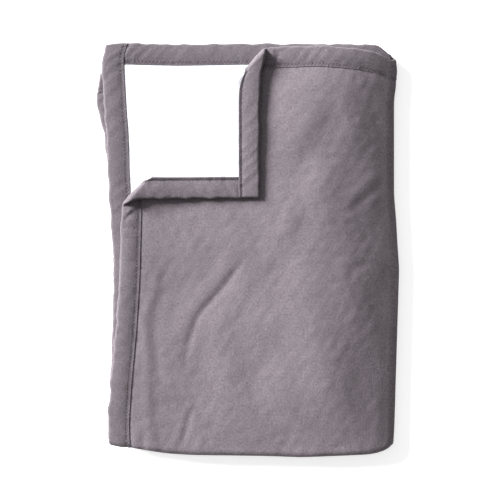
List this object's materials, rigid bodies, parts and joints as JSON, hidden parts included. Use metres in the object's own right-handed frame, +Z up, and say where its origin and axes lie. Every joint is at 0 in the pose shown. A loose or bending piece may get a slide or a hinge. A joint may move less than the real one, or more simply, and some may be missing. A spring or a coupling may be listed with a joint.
{
  "type": "infrared sauna blanket",
  "caption": "Wadded heating blanket with a brushed cover, smooth lining and bound edges, folded twice into a flat pack with one corner turned back.",
  "frame": {"origin": "middle of the pack's underside, on the surface it lies on", "axes": "+Y along the pack, from the first fold to the open head and foot edges; +X across it, towards the side fold; +Z up through the leaves"},
  "size_m": [0.7, 0.9619, 0.0544],
  "materials": {
    "outer_cover": "brushed matte",
    "binding": "brushed matte",
    "wadding": "matte fibre",
    "carrier": "needled felt",
    "lining": "smooth",
    "wire": "satin",
    "lead": "satin",
    "plastic": "fine texture",
    "contact": "plated"
  },
  "bodies": {
    "lower_half": {"contact_pin_1": "contact", "contact_pin_2": "contact", "contact_pin_3": "contact", "link_lead": "lead", "lower_foot_binding": "binding", "lower_head_binding": "binding", "lower_heater_carrier": "carrier", "lower_heating_wire": "wire", "lower_lead": "lead", "lower_lining": "lining", "lower_outer_cover": "outer_cover", "lower_side_binding": "binding", "lower_thermostat": "plastic", "lower_wadding": "wadding", "sensor_lead": "lead", "side_fold_foot_binding": "binding", "side_fold_head_binding": "binding", "side_fold_heater_carrier": "carrier", "side_fold_lead": "lead", "side_fold_lining": "lining", "side_fold_outer_cover": "outer_cover", "side_fold_wadding": "wadding", "socket_housing": "plastic", "temperature_sensor": "plastic"},
    "upper_half": {"corner_roll_head_binding": "binding", "corner_roll_heater_carrier": "carrier", "corner_roll_lining": "lining", "corner_roll_outer_cover": "outer_cover", "corner_roll_side_binding": "binding", "corner_roll_wadding": "wadding", "upper_foot_binding": "binding", "upper_head_binding": "binding", "upper_heater_carrier": "carrier", "upper_heating_wire": "wire", "upper_lead": "lead", "upper_lining": "lining", "upper_outer_cover": "outer_cover", "upper_side_binding": "binding", "upper_thermostat": "plastic", "upper_wadding": "wadding"},
    "corner_flap": {"flap_head_binding": "binding", "flap_heater_carrier": "carrier", "flap_lining": "lining", "flap_outer_cover": "outer_cover", "flap_side_binding": "binding", "flap_wadding": "wadding"}
  },
  "joints": [
    {"name": "pack_opening", "type": "hinge", "parent": "lower_half", "child": "upper_half", "pos_m": [0.331, 0, 0.0202], "axis": [0, 1, 0], "range_deg": [0, 180], "deforming": ["side_fold_foot_binding", "side_fold_head_binding", "side_fold_heater_carrier", "side_fold_lead", "side_fold_lining", "side_fold_outer_cover", "side_fold_wadding"]},
    {"name": "corner_turn", "type": "hinge", "parent": "upper_half", "child": "corner_flap", "pos_m": [-0.13998, 0.29357, 0.0428], "axis": [-0.6882, -0.7256, 0], "range_deg": [0, 180], "deforming": ["corner_roll_head_binding", "corner_roll_heater_carrier", "corner_roll_lining", "corner_roll_outer_cover", "corner_roll_side_binding", "corner_roll_wadding"]}
  ]
}
